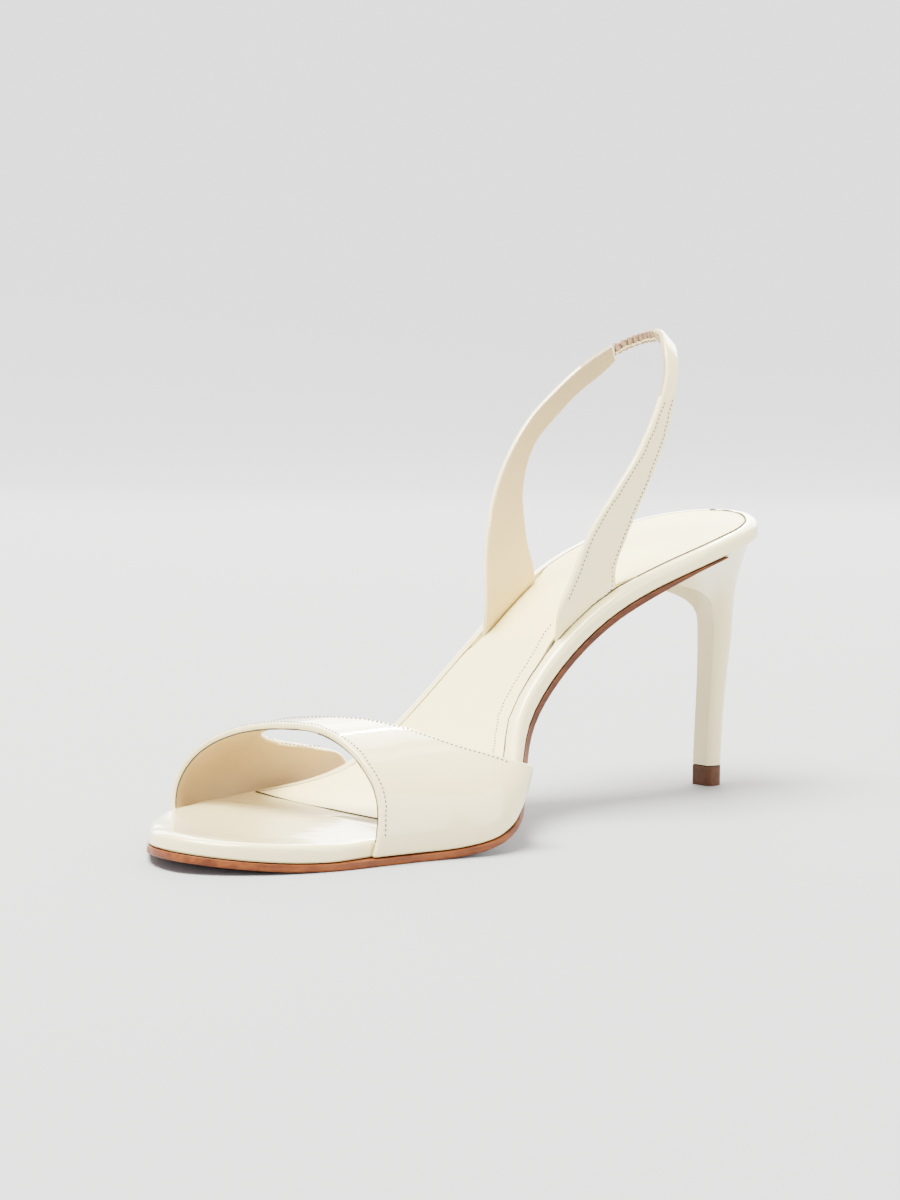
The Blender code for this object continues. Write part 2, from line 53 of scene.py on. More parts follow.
# Colours
CREAM = (0.93, 0.83, 0.44)
CREAM_SHADE = (0.90, 0.79, 0.40)
# The vamp's patent is a darker copy of the cream patent: painted shade for its sides that face away
# from the light.
SHADED_VAMP_CREAM = (0.86, 0.755, 0.40)
VAMP_SHADE = (0.82, 0.71, 0.36)
# The heel's patent is a darker copy of the cream patent: painted shade, as the heel stands in shade.
SHADED_HEEL_CREAM = (0.80, 0.69, 0.36)
HEEL_SHADE = (0.76, 0.64, 0.32)
LINING = (0.47, 0.335, 0.165)
STRAP_LINING = (0.72, 0.57, 0.27)
# Colour the straps' lining darkens to at the top: painted shade.
STRAP_LINING_SHADED_TOP = (0.46, 0.355, 0.19)
SOCK = (0.96, 0.85, 0.40)
# Colour of the thin dark lines: painted shadow in grooves, slots and edges.
SEAM_SHADOW_COLOR = (0.045, 0.035, 0.025)
TAN = (0.20, 0.056, 0.011)
TAN_DARK = (0.10, 0.022, 0.005)
TAN_WAIST = (0.50, 0.46, 0.44)
BROWN = (0.090, 0.031, 0.011)
ELASTIC = (0.50, 0.33, 0.22)
# Darker webbing for the elastic's folds: painted shade.
ELASTIC_FOLD_SHADE = (0.20, 0.125, 0.08)
THREAD = (0.11, 0.09, 0.06)
BACKDROP_NEAR = (0.385, 0.397, 0.425)
BACKDROP_FAR = (0.17, 0.176, 0.188)
BACKDROP_GLOW = 1.75
DAYLIGHT = (1.0, 0.965, 0.88)

# Heights between which painted shade darkens the straps' lining towards the top
STRAP_SHADE_START = 0.065
STRAP_SHADE_END = 0.118

# Heights between which the sole's edge darkens
WAIST_START = 0.006
WAIST_END = 0.022

# Backdrop and world
FLOOR_RADIUS = 1.6
FLOOR_RINGS = 6
WALL_BEND = 0.8
WALL_TOP = 1.0
BEND_RINGS = 12
AROUND = 120
GLOW_START = 0.2
GLOW_END = 0.9
WORLD_STRENGTH = 0.50

# Clean-up of the frame's meshes
MERGE_DISTANCE = 1e-5
FACE_ANGLE = math.radians(25)
SHAPE_ANGLE = math.radians(60)

# Rounding of the cut edges
PATENT_ROUNDING = 0.0007
FOOTBED_ROUNDING = 0.0002
SOLE_ROUNDING = 0.0004
SOCK_ROUNDING = 0.00015
BEVEL_SEGMENTS = 3
BEVEL_ANGLE = math.radians(38)

# Middles of the vamp's tunnel and of the strap loop, and which faces of the walls are lining
TUNNEL = Vector((0.0, -0.045, 0.004))
ACROSS_TUNNEL = Vector((1.0, 0.0, 1.0))
VAMP_LINING_LIMIT = -0.65
LOOP = Vector((-0.0008, 0.050, 0.0))
ACROSS_LOOP = Vector((1.0, 0.35, 0.0))
STRAP_LINING_LIMIT = -0.25

# Spot on the vamp that the narrow light glints on
VAMP_TOP = Vector((0.015, -0.049, 0.031))

# Straps, and which way along X each one's outside faces
SIDES = (("strap_inner", 1.0), ("strap_outer", -1.0))

# Dome of the footbed ahead of the sock
DOME_BACK = -0.046
DOME_FADE = 0.012
DOME_REACH = 0.010
DOME_DROP = 0.0009
DOME_CUTS = 24
DOME_WALL = 0.0022
WALL_SLOPE = 0.35
LONG_EDGE = 0.012

# Steps and reach of the rays that find edges and surfaces. Angles go round the tunnel, in degrees.
SCAN_STEP = 0.0005
SIDE_RAY = 0.06
VAMP_RAY = 0.08
VAMP_RAY_END = 0.002
VAMP_SCAN_STEPS = 160
VAMP_STITCH_ANGLES = range(1, 180, 4)
VAMP_SHADOW_ANGLES = range(3, 178, 3)
STRAP_SCAN_START = 0.015
STRAP_SCAN_STEPS = 140
SOCK_SCAN_START = 0.05
SOCK_SCAN_STEPS = 120
DROP_FROM = 0.12
DROP_REACH = 0.13

# Stitches
STITCH_PITCH = 0.00125
STITCH_LENGTH = 0.0007
STITCH_WIDTH = 0.00038
STITCH_THICKNESS = 0.45
STITCH_RISE = 0.15
STITCH_INSET = 0.0013
SOCK_STITCH_INSET = 0.0038
SOCK_ROW_START = -0.040
SOCK_ROW_STEPS = 70
SOCK_ROW_STEP = 0.001
LEAN_LIMIT = 0.45
STRAP_INSET_SHARE = 1.1
STRAP_END_GAP = 0.012
STRAP_STEP = 0.002
STRAP_LEAST_HITS = 12

# Dark lines of painted shadow. The shift and the rise are shares of the width.
SEAM_WIDTH = 0.00038
SEAM_SHIFT = 0.8
SEAM_RISE = 0.45
SUNK_SEAM_LIMIT = -0.35
SUNK_SEAM_WIDTH = 0.4
SOCK_EDGE_ANGLE = math.radians(50)
UPWARD = 0.3
FOOT_GAP = 0.004
FOOT_STEPS = 100
FOOT_STEP = 0.0006
FOOT_RISES = 120
FOOT_RISE = 0.0003
EDGE_DEPTH = 0.00012
CORNER_STEPS = 40
CORNER_STEP = 0.0001
CORNER_LIMIT = -0.8
VAMP_SHADOW_WIDTH = SEAM_WIDTH * 0.9

# Elastic
RIB_PITCH = 0.0015
RIB_HEIGHT = 0.0007
RIB_CUTS = 5
FOLD_SHADE_LIMIT = -0.6
LIP_WIDTH = 0.0006
LIP_STEPS = 24
LIP_DEPTHS = 20
LIP_END_GAP = 0.0004
LIP_RAY = 0.03

# Sockets of the colour mix node
MIX_FACTOR = 0
MIX_FIRST = 6
MIX_SECOND = 7
MIX_RESULT = 2

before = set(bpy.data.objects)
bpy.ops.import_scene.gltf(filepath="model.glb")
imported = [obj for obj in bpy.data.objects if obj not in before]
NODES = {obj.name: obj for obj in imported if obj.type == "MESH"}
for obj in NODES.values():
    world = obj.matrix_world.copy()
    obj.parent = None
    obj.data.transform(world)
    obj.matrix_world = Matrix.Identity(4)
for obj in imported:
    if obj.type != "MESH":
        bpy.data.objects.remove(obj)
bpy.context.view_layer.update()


# Materials

def shader_of(material):
    return material.node_tree.nodes["Principled BSDF"]


def darker(color, share):
    return tuple(share * part for part in color)


def start_material(name, color, roughness, coat=0.0, coat_roughness=0.05):
    material = bpy.data.materials.new(name)
    material.use_nodes = True
    shader = shader_of(material)
    shader.inputs["Base Color"].default_value = (*color, 1.0)
    shader.inputs["Roughness"].default_value = roughness
    shader.inputs["Coat Weight"].default_value = coat
    shader.inputs["Coat Roughness"].default_value = coat_roughness
    return material


def add_noise(material, scale, detail=2.0, stretch=(1.0, 1.0, 1.0)):
    """Noise in the object's own coordinates. The scale is in features per metre."""
    nodes, links = material.node_tree.nodes, material.node_tree.links
    places = nodes.new("ShaderNodeTexCoord")
    mapping = nodes.new("ShaderNodeMapping")
    mapping.inputs["Scale"].default_value = stretch
    noise = nodes.new("ShaderNodeTexNoise")
    noise.inputs["Scale"].default_value = scale
    noise.inputs["Detail"].default_value = detail
    links.new(places.outputs["Object"], mapping.inputs["Vector"])
    links.new(mapping.outputs["Vector"], noise.inputs["Vector"])
    return noise.outputs["Fac"]


def blend_color(material, factor, low, high, start=0.35, end=0.65):
    """Base colour that runs from low to high with the factor."""
    nodes, links = material.node_tree.nodes, material.node_tree.links
    ramp = nodes.new("ShaderNodeValToRGB")
    ramp.color_ramp.elements[0].position = start
    ramp.color_ramp.elements[0].color = (*low, 1.0)
    ramp.color_ramp.elements[1].position = end
    ramp.color_ramp.elements[1].color = (*high, 1.0)
    links.new(factor, ramp.inputs["Fac"])
    links.new(ramp.outputs["Color"], shader_of(material).inputs["Base Color"])


def vary_roughness(material, factor, low, high):
    nodes, links = material.node_tree.nodes, material.node_tree.links
    span = nodes.new("ShaderNodeMapRange")
    span.inputs["To Min"].default_value = low
    span.inputs["To Max"].default_value = high
    links.new(factor, span.inputs["Value"])
    links.new(span.outputs["Result"], shader_of(material).inputs["Roughness"])


def add_bump(material, factor, height, coat_too=False):
    """Bump of the given real height. Several calls add up."""
    nodes, links = material.node_tree.nodes, material.node_tree.links
    shader = shader_of(material)
    bump = nodes.new("ShaderNodeBump")
    bump.inputs["Strength"].default_value = 1.0
    bump.inputs["Distance"].default_value = height
    links.new(factor, bump.inputs["Height"])
    earlier = shader.inputs["Normal"].links
    if earlier:
        links.new(earlier[0].from_socket, bump.inputs["Normal"])
    links.new(bump.outputs["Normal"], shader.inputs["Normal"])
    if coat_too:
        links.new(bump.outputs["Normal"], shader.inputs["Coat Normal"])


def height_share(material, low, high):
    """0 up to the low height, 1 from the high one."""
    nodes, links = material.node_tree.nodes, material.node_tree.links
    places = nodes.new("ShaderNodeTexCoord")
    parts = nodes.new("ShaderNodeSeparateXYZ")
    share = nodes.new("ShaderNodeMapRange")
    share.inputs["From Min"].default_value = low
    share.inputs["From Max"].default_value = high
    links.new(places.outputs["Object"], parts.inputs["Vector"])
    links.new(parts.outputs["Z"], share.inputs["Value"])
    return share.outputs["Result"]


def patent_material(name, color, shade):
    """Lacquered leather: soft cream under a clear coat with a faint ripple."""
    material = start_material(name, color, 0.34, coat=1.0, coat_roughness=0.035)
    blend_color(material, add_noise(material, 14.0, 3.0), shade, color, 0.25, 0.6)
    vary_roughness(material, add_noise(material, 90.0), 0.28, 0.42)
    add_bump(material, add_noise(material, 900.0, 3.0), 0.00002)
    add_bump(material, add_noise(material, 130.0, 2.0), 0.00010, coat_too=True)
    return material


def lining_material():
    material = start_material("lining_leather", LINING, 0.55)
    blend_color(material, add_noise(material, 60.0, 4.0), darker(LINING, 0.92), LINING)
    add_bump(material, add_noise(material, 1600.0, 4.0), 0.00006)
    return material


def strap_lining_material():
    """Lining of the straps, paler at the foot and darker towards the top, where shade is painted in."""
    material = start_material("strap_lining_leather", STRAP_LINING, 0.55)
    # Painted shade: the lining darkens with height.
    height = height_share(material, STRAP_SHADE_START, STRAP_SHADE_END)
    blend_color(material, height, STRAP_LINING, STRAP_LINING_SHADED_TOP, 0.0, 1.0)
    add_bump(material, add_noise(material, 1600.0, 4.0), 0.00006)
    return material


def sock_material():
    material = start_material("sock_leather", SOCK, 0.46)
    shader_of(material).inputs["Specular IOR Level"].default_value = 0.42
    blend_color(material, add_noise(material, 35.0, 4.0), darker(SOCK, 0.95), SOCK)
    vary_roughness(material, add_noise(material, 120.0), 0.40, 0.56)
    add_bump(material, add_noise(material, 1300.0, 4.0), 0.00005)
    add_bump(material, add_noise(material, 40.0, 1.0), 0.0002)
    return material


def darken_waist(material):
    """Multiplies the sole's colour so that its edge is darker up the arch than round the tread."""
    nodes, links = material.node_tree.nodes, material.node_tree.links
    color = shader_of(material).inputs["Base Color"]
    tint = nodes.new("ShaderNodeMix")
    tint.data_type = "RGBA"
    tint.blend_type = "MULTIPLY"
    tint.inputs[MIX_SECOND].default_value = (*TAN_WAIST, 1.0)
    links.new(height_share(material, WAIST_START, WAIST_END), tint.inputs[MIX_FACTOR])
    links.new(color.links[0].from_socket, tint.inputs[MIX_FIRST])
    links.new(tint.outputs[MIX_RESULT], color)


def sole_material():
    """Burnished sole leather, with fibres that run along the shoe."""
    material = start_material("sole_leather", TAN, 0.42)
    shader_of(material).inputs["Specular IOR Level"].default_value = 0.25
    fibres = add_noise(material, 500.0, 4.0, stretch=(1.0, 0.12, 1.0))
    blend_color(material, fibres, TAN_DARK, TAN, 0.3, 0.62)
    darken_waist(material)
    vary_roughness(material, add_noise(material, 200.0), 0.34, 0.55)
    add_bump(material, fibres, 0.00008)
    return material


def rubber_material():
    material = start_material("top_piece_rubber", BROWN, 0.5)
    shader_of(material).inputs["Specular IOR Level"].default_value = 0.25
    blend_color(material, add_noise(material, 700.0, 4.0), darker(BROWN, 0.75), BROWN)
    vary_roughness(material, add_noise(material, 300.0), 0.40, 0.62)
    add_bump(material, add_noise(material, 1500.0, 3.0), 0.00004)
    return material


def elastic_material(name, color):
    material = start_material(name, color, 0.8)
    shader_of(material).inputs["Sheen Weight"].default_value = 0.3
    threads = add_noise(material, 3200.0, 2.0, stretch=(1.0, 1.0, 0.25))
    blend_color(material, threads, darker(color, 0.8), color, 0.3, 0.7)
    add_bump(material, threads, 0.00008)
    return material


def thread_material():
    material = start_material("thread", THREAD, 0.6)
    add_bump(material, add_noise(material, 5000.0, 2.0), 0.00003)
    return material


def seam_shadow_material():
    material = start_material("seam_shadow", SEAM_SHADOW_COLOR, 0.8)
    add_bump(material, add_noise(material, 2500.0, 2.0), 0.00003)
    return material


def backdrop_material():
    """Pale paper. It takes the shoe's shadow near the middle and glows evenly further out."""
    material = start_material("backdrop", BACKDROP_NEAR, 0.9)
    shader_of(material).inputs["Specular IOR Level"].default_value = 0.1
    shader_of(material).inputs["Emission Color"].default_value = (1.0, 1.0, 1.0, 1.0)
    nodes, links = material.node_tree.nodes, material.node_tree.links
    places = nodes.new("ShaderNodeTexCoord")
    length = nodes.new("ShaderNodeVectorMath")
    length.operation = "LENGTH"
    reach = nodes.new("ShaderNodeMapRange")
    reach.interpolation_type = "SMOOTHSTEP"
    reach.inputs["From Min"].default_value = GLOW_START
    reach.inputs["From Max"].default_value = GLOW_END
    glow = nodes.new("ShaderNodeMapRange")
    glow.inputs["To Max"].default_value = BACKDROP_GLOW
    links.new(places.outputs["Object"], length.inputs[0])
    links.new(length.outputs["Value"], reach.inputs["Value"])
    links.new(reach.outputs["Result"], glow.inputs["Value"])
    links.new(glow.outputs["Result"], shader_of(material).inputs["Emission Strength"])
    blend_color(material, reach.outputs["Result"], BACKDROP_NEAR, BACKDROP_FAR, 0.0, 1.0)
    return material


PATENT = patent_material("patent_cream", CREAM, CREAM_SHADE)
# Darker copy of the cream patent for the vamp: painted shade.
SHADED_VAMP_PATENT = patent_material("patent_vamp_painted_shade", SHADED_VAMP_CREAM, VAMP_SHADE)
# Darker copy of the cream patent for the heel: painted shade.
SHADED_HEEL_PATENT = patent_material("patent_heel_painted_shade", SHADED_HEEL_CREAM, HEEL_SHADE)
LINING_LEATHER = lining_material()
STRAP_LEATHER = strap_lining_material()
SOCK_LEATHER = sock_material()
SOLE_LEATHER = sole_material()
RUBBER = rubber_material()
WEBBING = elastic_material("elastic_webbing", ELASTIC)
WEBBING_FOLD_SHADE = elastic_material("elastic_webbing_fold_shade", ELASTIC_FOLD_SHADE)
THREAD_MATERIAL = thread_material()
SEAM_SHADOW_MATERIAL = seam_shadow_material()


# Smooth copies of the frame's pieces

def add_piece(name, data):
    piece = bpy.data.objects.new(name, data)
    bpy.context.scene.collection.objects.link(piece)
    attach(piece, "root")
    return piece


def open_node(node):
    """Mesh of a frame piece, with doubled corners merged and flat triangles joined."""
    work = bmesh.new()
    work.from_mesh(NODES[node].data)
    bmesh.ops.remove_doubles(work, verts=work.verts, dist=MERGE_DISTANCE)
    bmesh.ops.join_triangles(work, faces=work.faces, angle_face_threshold=FACE_ANGLE,
                             angle_shape_threshold=SHAPE_ANGLE)
    return work


def close_mesh(name, work, materials):
    """Finished mesh, shaded smooth."""
    for face in work.faces:
        face.smooth = True
    mesh = bpy.data.meshes.new(name)
    work.to_mesh(mesh)
    work.free()
    for material in materials:
        mesh.materials.append(material)
    return mesh


def smooth_copy(node, name, materials, rounding, levels=1, choose=None, shape=None):
    """Copy of a frame piece with rounded edges and a subdivided surface, which takes its place."""
    work = open_node(node)
    if shape:
        shape(work)
    for face in work.faces:
        face.material_index = choose(face) if choose else 0
    piece = add_piece(name, close_mesh(name, work, materials))
    bevel = piece.modifiers.new("edges", "BEVEL")
    bevel.width = rounding
    bevel.segments = BEVEL_SEGMENTS
    bevel.limit_method = "ANGLE"
    bevel.angle_limit = BEVEL_ANGLE
    bevel.harden_normals = False
    smooth = piece.modifiers.new("surface", "SUBSURF")
    smooth.levels = levels
    smooth.render_levels = levels
    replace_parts(piece, node)


def dome_the_toe(work):
    """Softens the footbed ahead of the sock into a low dome that falls off towards its rim."""
    work.normal_update()
    walls = [face for face in work.faces if abs(face.normal.z) < WALL_SLOPE]
    feet = [min(face.verts, key=lambda corner: corner.co.z).co.copy() for face in walls]
    long_edges = [edge for edge in work.edges if edge.calc_length() > LONG_EDGE
                  and max(vertex.co.y for vertex in edge.verts) < DOME_BACK]
    bmesh.ops.subdivide_edges(work, edges=long_edges, cuts=DOME_CUTS, use_grid_fill=True)
    rim_tree = KDTree(len(feet))
    for index, place in enumerate(feet):
        rim_tree.insert((place.x, place.y, 0.0), index)
    rim_tree.balance()
    for vertex in work.verts:
        if vertex.co.y > DOME_BACK:
            continue
        _, index, distance = rim_tree.find((vertex.co.x, vertex.co.y, 0.0))
        above = (vertex.co.z - feet[index].z) / DOME_WALL - 1.0
        inside = max(0.0, 1.0 - distance / DOME_REACH)
        fade = min(1.0, (DOME_BACK - vertex.co.y) / DOME_FADE)
        vertex.co.z -= DOME_DROP * inside * inside * fade * max(0.0, min(1.0, above))


def facing_inside(centre, weights, limit):
    """Chooses the lining for faces that look towards the centre. The weights set each axis's share."""
    def choose(face):
        outward = (face.calc_center_median() - centre) * weights
        return 1 if outward.normalized().dot(face.normal) < limit else 0
    return choose


smooth_copy("vamp", "vamp_skin", [SHADED_VAMP_PATENT, LINING_LEATHER], PATENT_ROUNDING,
            levels=2, choose=facing_inside(TUNNEL, ACROSS_TUNNEL, VAMP_LINING_LIMIT))
for strap in ("strap_inner", "strap_outer"):
    smooth_copy(strap, strap + "_skin", [PATENT, STRAP_LEATHER], PATENT_ROUNDING,
                levels=2, choose=facing_inside(LOOP, ACROSS_LOOP, STRAP_LINING_LIMIT))
smooth_copy("footbed", "footbed_cover", [PATENT], FOOTBED_ROUNDING, shape=dome_the_toe)
smooth_copy("sock", "sock_cover", [SOCK_LEATHER], SOCK_ROUNDING)
smooth_copy("outsole", "outsole_leather", [SOLE_LEATHER], SOLE_ROUNDING)
smooth_copy("heel", "heel_cover", [SHADED_HEEL_PATENT], PATENT_ROUNDING, levels=2)
smooth_copy("top_piece", "top_piece_rubber", [RUBBER], PATENT_ROUNDING, levels=2)


# Helpers for thin pieces

def tree_of(node):
    mesh = NODES[node].data
    return BVHTree.FromPolygons([vertex.co for vertex in mesh.vertices],
                                [list(polygon.vertices) for polygon in mesh.polygons])


def start_curve(name, material, width, resolution=1):
    """Empty curve whose lines are round and of a width."""
    curve = bpy.data.curves.new(name, "CURVE")
    curve.dimensions = "3D"
    curve.bevel_depth = width / 2
    curve.bevel_resolution = resolution
    curve.materials.append(material)
    return curve


def add_line(curve, places, radius=1.0):
    spline = curve.splines.new("POLY")
    spline.points.add(len(places) - 1)
    for point, place in zip(spline.points, places):
        point.co = (*place, 1.0)
        point.radius = radius


# Ruched elastic

def rib_wave(x):
    return math.sin(2 * math.pi * x / RIB_PITCH)


def make_elastic():
    """Strip with raised ribs across it and painted shade in the folds between them."""
    work = open_node("elastic")
    bmesh.ops.subdivide_edges(work, edges=work.edges, cuts=RIB_CUTS, use_grid_fill=True)
    work.normal_update()
    moves = [(vertex, vertex.normal * RIB_HEIGHT * (0.5 * rib_wave(vertex.co.x) - 0.5))
             for vertex in work.verts]
    # Faces in the folds take the darker webbing: painted shade.
    for face in work.faces:
        face.material_index = 1 if rib_wave(face.calc_center_median().x) < FOLD_SHADE_LIMIT else 0
    for vertex, move in moves:
        vertex.co += move
    mesh = close_mesh("elastic_ruched", work, [WEBBING, WEBBING_FOLD_SHADE])
    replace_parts(add_piece("elastic_ruched", mesh), "elastic")


def edge_middle(tree, x, low, high, direction):
    """Middle of the elastic's upper or lower edge at an X, or None."""
    hits = []
    for step in range(LIP_DEPTHS):
        y = low[1] + (high[1] - low[1]) * step / (LIP_DEPTHS - 1)
        start = Vector((x, y, 0.5 * (low[2] + high[2]) - direction * LIP_RAY))
        place, _, _, _ = tree.ray_cast(start, Vector((0.0, 0.0, direction)), 2 * LIP_RAY)
        if place:
            hits.append(place)
    return sum(hits, Vector()) / len(hits) if hits else None


def make_elastic_lips():
    """Cream piping along the upper and the lower edge of the elastic."""
    low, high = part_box("elastic")
    tree = tree_of("elastic")
    curve = start_curve("elastic_lips", PATENT, LIP_WIDTH, resolution=3)
    run = high[0] - low[0] - 2 * LIP_END_GAP
    for direction in (-1.0, 1.0):
        places = [edge_middle(tree, low[0] + LIP_END_GAP + run * step / LIP_STEPS, low, high, direction)
                  for step in range(LIP_STEPS + 1)]
        add_line(curve, [place for place in places if place])
    add_piece("elastic_lips", curve)


# Stitches

def even_places(points, pitch):
    """Points and directions at an even pitch along a line of points."""
    places = []
    carried = pitch / 2
    for start, end in zip(points, points[1:]):
        step = end - start
        reach = carried
        while reach < step.length:
            places.append((start + step * (reach / step.length), step.normalized()))
            reach += pitch
        carried = reach - step.length
    return places


def stitch_row(name, tree, points):
    """Sewn row: short rounded stitches, half sunk where they meet the surface."""
    work = bmesh.new()
    size = Matrix.Diagonal((STITCH_LENGTH / 2, STITCH_WIDTH / 2, STITCH_WIDTH * STITCH_THICKNESS, 1.0))
    for place, ahead in even_places(points, STITCH_PITCH):
        surface, normal, _, _ = tree.find_nearest(place)
        if surface is None:
            continue
        side = normal.cross(ahead).normalized()
        turn = Matrix((ahead, side, normal)).transposed().to_4x4()
        move = Matrix.Translation(surface + normal * STITCH_WIDTH * STITCH_RISE)
        bmesh.ops.create_icosphere(work, subdivisions=2, radius=1.0, matrix=move @ turn @ size)
    add_piece(name, close_mesh(name, work, [THREAD_MATERIAL]))


def outer_hit(tree, angle, y):
    """Outermost point of the vamp in a direction from the middle of its tunnel, or None."""
    aim = Vector((math.cos(angle), 0.0, math.sin(angle)))
    start = Vector((TUNNEL.x, y, TUNNEL.z)) + aim * VAMP_RAY
    place, _, _, _ = tree.ray_cast(start, -aim, VAMP_RAY - VAMP_RAY_END)
    return place


def vamp_edge(tree, angle, front):
    """Y of the vamp's front or rear edge in a direction, or None."""
    ys = [step * SCAN_STEP for step in range(-VAMP_SCAN_STEPS, 1)]
    hits = [y for y in ys if outer_hit(tree, angle, y)]
    return (hits[0] if front else hits[-1]) if hits else None


def vamp_line(tree, front, inset):
    """Line on the outer surface that follows an edge of the vamp at an inset."""
    edge = []
    for degrees in VAMP_STITCH_ANGLES:
        angle = math.radians(degrees)
        y = vamp_edge(tree, angle, front)
        if y is not None:
            edge.append((angle, y))
    if not front:
        near_tip = max((y, angle) for angle, y in edge if angle < math.pi / 2)[1]
        far_tip = max((y, angle) for angle, y in edge if angle > math.pi / 2)[1]
        edge = [(angle, y) for angle, y in edge if near_tip <= angle <= far_tip]
    line = []
    for (before, y_before), (angle, y), (after, y_after) in zip(edge, edge[1:], edge[2:]):
        start, end = outer_hit(tree, before, y_before), outer_hit(tree, after, y_after)
        lean = 1.0
        if start and end and (end - start).length > 0:
            run = end - start
            across = math.sqrt(max(0.0, 1 - (run.y / run.length) ** 2))
            lean = 1.0 / max(LEAN_LIMIT, across)
        place = outer_hit(tree, angle, y + (inset if front else -inset) * lean)
        if place:
            line.append(place)
    return line


def make_vamp_stitches():
    tree = tree_of("vamp")
    stitch_row("vamp_front_stitches", tree, vamp_line(tree, True, STITCH_INSET))
    stitch_row("vamp_rear_stitches", tree, vamp_line(tree, False, STITCH_INSET))


def strap_lines(tree, outside, heights):
    """Two lines on a strap's outer or inner face, each at the stitch inset from an edge."""
    front_line, rear_line = [], []
    inset = int(round(STITCH_INSET * STRAP_INSET_SHARE / SCAN_STEP))
    for z in heights:
        hits = []
        for step in range(STRAP_SCAN_STEPS):
            start = Vector((outside * SIDE_RAY, STRAP_SCAN_START + step * SCAN_STEP, z))
            place, _, _, _ = tree.ray_cast(start, Vector((-outside, 0.0, 0.0)), 2 * SIDE_RAY)
            if place:
                hits.append(place)
        if len(hits) > STRAP_LEAST_HITS:
            front_line.append(hits[inset])
            rear_line.append(hits[-1 - inset])
    return front_line, rear_line


def make_strap_stitches():
    for node, outside in SIDES:
        tree = tree_of(node)
        low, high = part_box(node)
        steps = int((high[2] - low[2] - 2 * STRAP_END_GAP) / STRAP_STEP)
        heights = [low[2] + STRAP_END_GAP + step * STRAP_STEP for step in range(steps)]
        front_line, rear_line = strap_lines(tree, outside, heights)
        stitch_row(node + "_front_stitches", tree, front_line)
        stitch_row(node + "_rear_stitches", tree, rear_line)


def drop_on(tree, x, y):
    """Point of a piece straight below a place above the shoe, or None."""
    place, _, _, _ = tree.ray_cast(Vector((x, y, DROP_FROM)), Vector((0.0, 0.0, -1.0)), DROP_REACH)
    return place


def make_sock_stitches():
    """Row along the inner side of the sock, from the vamp to the strap."""
    tree = tree_of("sock")
    line = []
    for step in range(SOCK_ROW_STEPS):
        y = SOCK_ROW_START + step * SOCK_ROW_STEP
        xs = [SOCK_SCAN_START - inward * SCAN_STEP for inward in range(SOCK_SCAN_STEPS)]
        scan = (drop_on(tree, x, y) for x in xs)
        edge = next((place for place in scan if place), None)
        place = drop_on(tree, edge.x - SOCK_STITCH_INSET, y) if edge else None
        if place:
            line.append(place)
    stitch_row("sock_stitches", tree, line)


# Thin dark lines of painted shadow

def make_sock_seam():
    """Thin dark line of painted shadow in the groove round the sock. It is thinner and lower along the
    outer side.
    """
    work = bmesh.new()
    work.from_mesh(NODES["sock"].data)
    bmesh.ops.remove_doubles(work, verts=work.verts, dist=MERGE_DISTANCE)
    footbed_tree = tree_of("footbed")
    curve = start_curve("sock_seam", SEAM_SHADOW_MATERIAL, SEAM_WIDTH)
    for edge in work.edges:
        if len(edge.link_faces) != 2 or edge.calc_face_angle(0.0) < SOCK_EDGE_ANGLE:
            continue
        top, wall = sorted(edge.link_faces, key=lambda face: -face.normal.z)
        if top.normal.z < UPWARD:
            continue
        sunk = wall.normal.x < SUNK_SEAM_LIMIT
        places = []
        for vertex in edge.verts:
            beside = vertex.co + wall.normal * SEAM_WIDTH * SEAM_SHIFT
            place, normal, _, _ = footbed_tree.find_nearest(beside)
            if normal.z > UPWARD and not sunk:
                place = place + normal * SEAM_WIDTH * SEAM_RISE
            places.append(place)
        add_line(curve, places, SUNK_SEAM_WIDTH if sunk else 1.0)
    work.free()
    add_piece("sock_seam", curve)


def thin_line(name, places, width):
    """Dark tube of painted shadow along a line of points."""
    curve = start_curve(name, SEAM_SHADOW_MATERIAL, width)
    add_line(curve, places)
    add_piece(name, curve)


def foot_line(strap_tree, footbed_tree, outside, low):
    """Points where a strap's outer face sinks in beside the footbed's rim."""
    line = []
    across = Vector((-outside, 0.0, 0.0))
    for step in range(FOOT_STEPS):
        rim = None
        for rise in range(FOOT_RISES):
            start = Vector((outside * SIDE_RAY, low[1] + FOOT_STEP * step, low[2] + FOOT_RISE * rise))
            on_strap, _, _, strap_reach = strap_tree.ray_cast(start, across, 2 * SIDE_RAY)
            on_footbed, _, _, footbed_reach = footbed_tree.ray_cast(start, across, 2 * SIDE_RAY)
            if on_strap and (not on_footbed or strap_reach < footbed_reach):
                if rim and (rim - on_strap).length < FOOT_GAP:
                    line.append(on_strap)
                break
            rim = on_footbed
    return line


def make_foot_shadows():
    """Thin dark line of painted shadow along the slot that each strap comes out of."""
    footbed_tree = tree_of("footbed")
    for node, outside in SIDES:
        low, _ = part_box(node)
        places = foot_line(tree_of(node), footbed_tree, outside, low)
        if len(places) > 1:
            thin_line(node + "_seam", places, SEAM_WIDTH)


def make_vamp_edge_shadow():
    """Thin dark line of painted shadow along the inner corner of the vamp's turned front edge."""
    tree = tree_of("vamp")
    places = []
    for degrees in VAMP_SHADOW_ANGLES:
        angle = math.radians(degrees)
        y = vamp_edge(tree, angle, True)
        if y is None:
            continue
        aim = Vector((math.cos(angle), 0.0, math.sin(angle)))
        for step in range(CORNER_STEPS):
            start = Vector((TUNNEL.x, y + step * CORNER_STEP, TUNNEL.z))
            place, normal, _, _ = tree.ray_cast(start, aim, VAMP_RAY)
            if place and normal.dot(aim) < CORNER_LIMIT:
                places.append(place + aim * EDGE_DEPTH)
                break
    thin_line("vamp_edge_shadow", places, VAMP_SHADOW_WIDTH)


